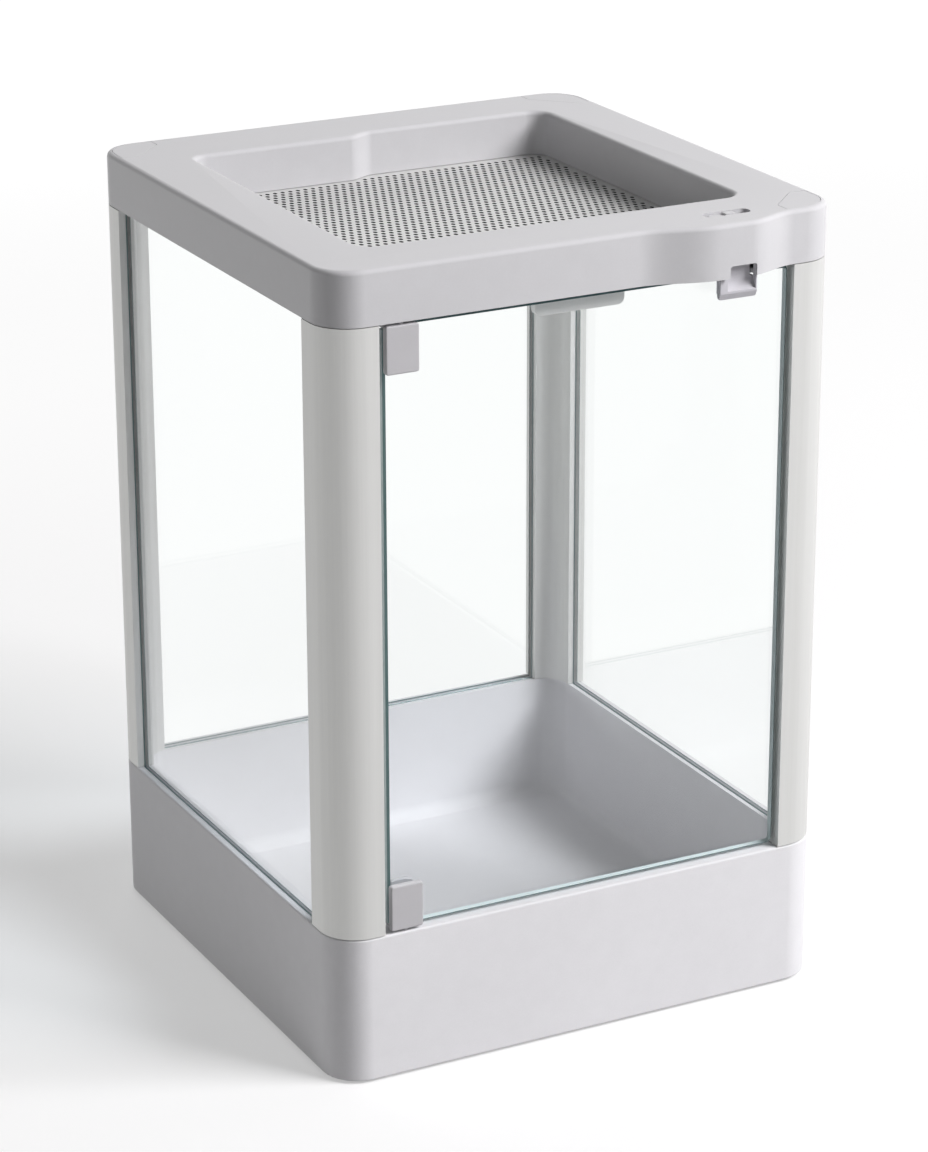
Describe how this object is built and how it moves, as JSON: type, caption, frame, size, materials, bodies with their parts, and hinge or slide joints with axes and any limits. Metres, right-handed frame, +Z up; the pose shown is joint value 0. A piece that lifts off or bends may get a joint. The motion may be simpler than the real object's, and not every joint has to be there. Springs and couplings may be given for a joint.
{
  "type": "glass terrarium",
  "caption": "Upright glass terrarium with a deep base tray, corner posts, a hinged front door with a sliding lock and a ventilated top frame.",
  "frame": {"origin": "centre of the overall box in plan, at the plane that the feet stand on", "axes": "+Z up; the front with the door faces -Y; +X to the right as seen from the front"},
  "size_m": [0.2, 0.2062, 0.3],
  "materials": {
    "moulded_plastic": "satin pale grey",
    "clip_plastic": "satin grey",
    "anodised_aluminium": "fine brushed, silver anodised",
    "clear_glass": "clear with a pale green edge",
    "mesh_metal": "perforated sheet, pale grey",
    "rubber": "matte black",
    "screw_steel": "zinc plated"
  },
  "bodies": {
    "case": {"base_tray": "moulded_plastic", "foot_front_left": "rubber", "foot_front_right": "rubber", "foot_back_left": "rubber", "foot_back_right": "rubber", "post_front_left": "anodised_aluminium", "post_front_right": "anodised_aluminium", "post_back_left": "anodised_aluminium", "post_back_right": "anodised_aluminium", "glass_left": "clear_glass", "glass_right": "clear_glass", "glass_back": "clear_glass", "top_frame": "moulded_plastic", "frame_liner": "moulded_plastic", "mesh_panel": "mesh_metal", "corner_cap_front_right": "moulded_plastic", "corner_cap_back_left": "moulded_plastic", "corner_cap_back_right": "moulded_plastic", "base_screw_front_left": "screw_steel", "base_screw_front_right": "screw_steel", "base_screw_back_left": "screw_steel", "base_screw_back_right": "screw_steel", "top_screw_front_right": "screw_steel", "top_screw_back_left": "screw_steel", "top_screw_back_right": "screw_steel", "door_stop": "clip_plastic", "lock_guide": "clip_plastic"},
    "door": {"door_glass": "clear_glass", "hinge_clip_upper": "clip_plastic", "hinge_clip_lower": "clip_plastic", "door_handle": "moulded_plastic"},
    "lock": {"lock_slider": "moulded_plastic"}
  },
  "joints": [
    {"name": "door_hinge", "type": "hinge", "parent": "case", "child": "door", "pos_m": [-0.07235, -0.0949, 0.17], "axis": [0, 0, -1], "range_deg": [0, 110]},
    {"name": "lock_slide", "type": "slide", "parent": "case", "child": "lock", "axis": [1, 0, 0], "range_m": [-0.002, 0.0046]}
  ]
}
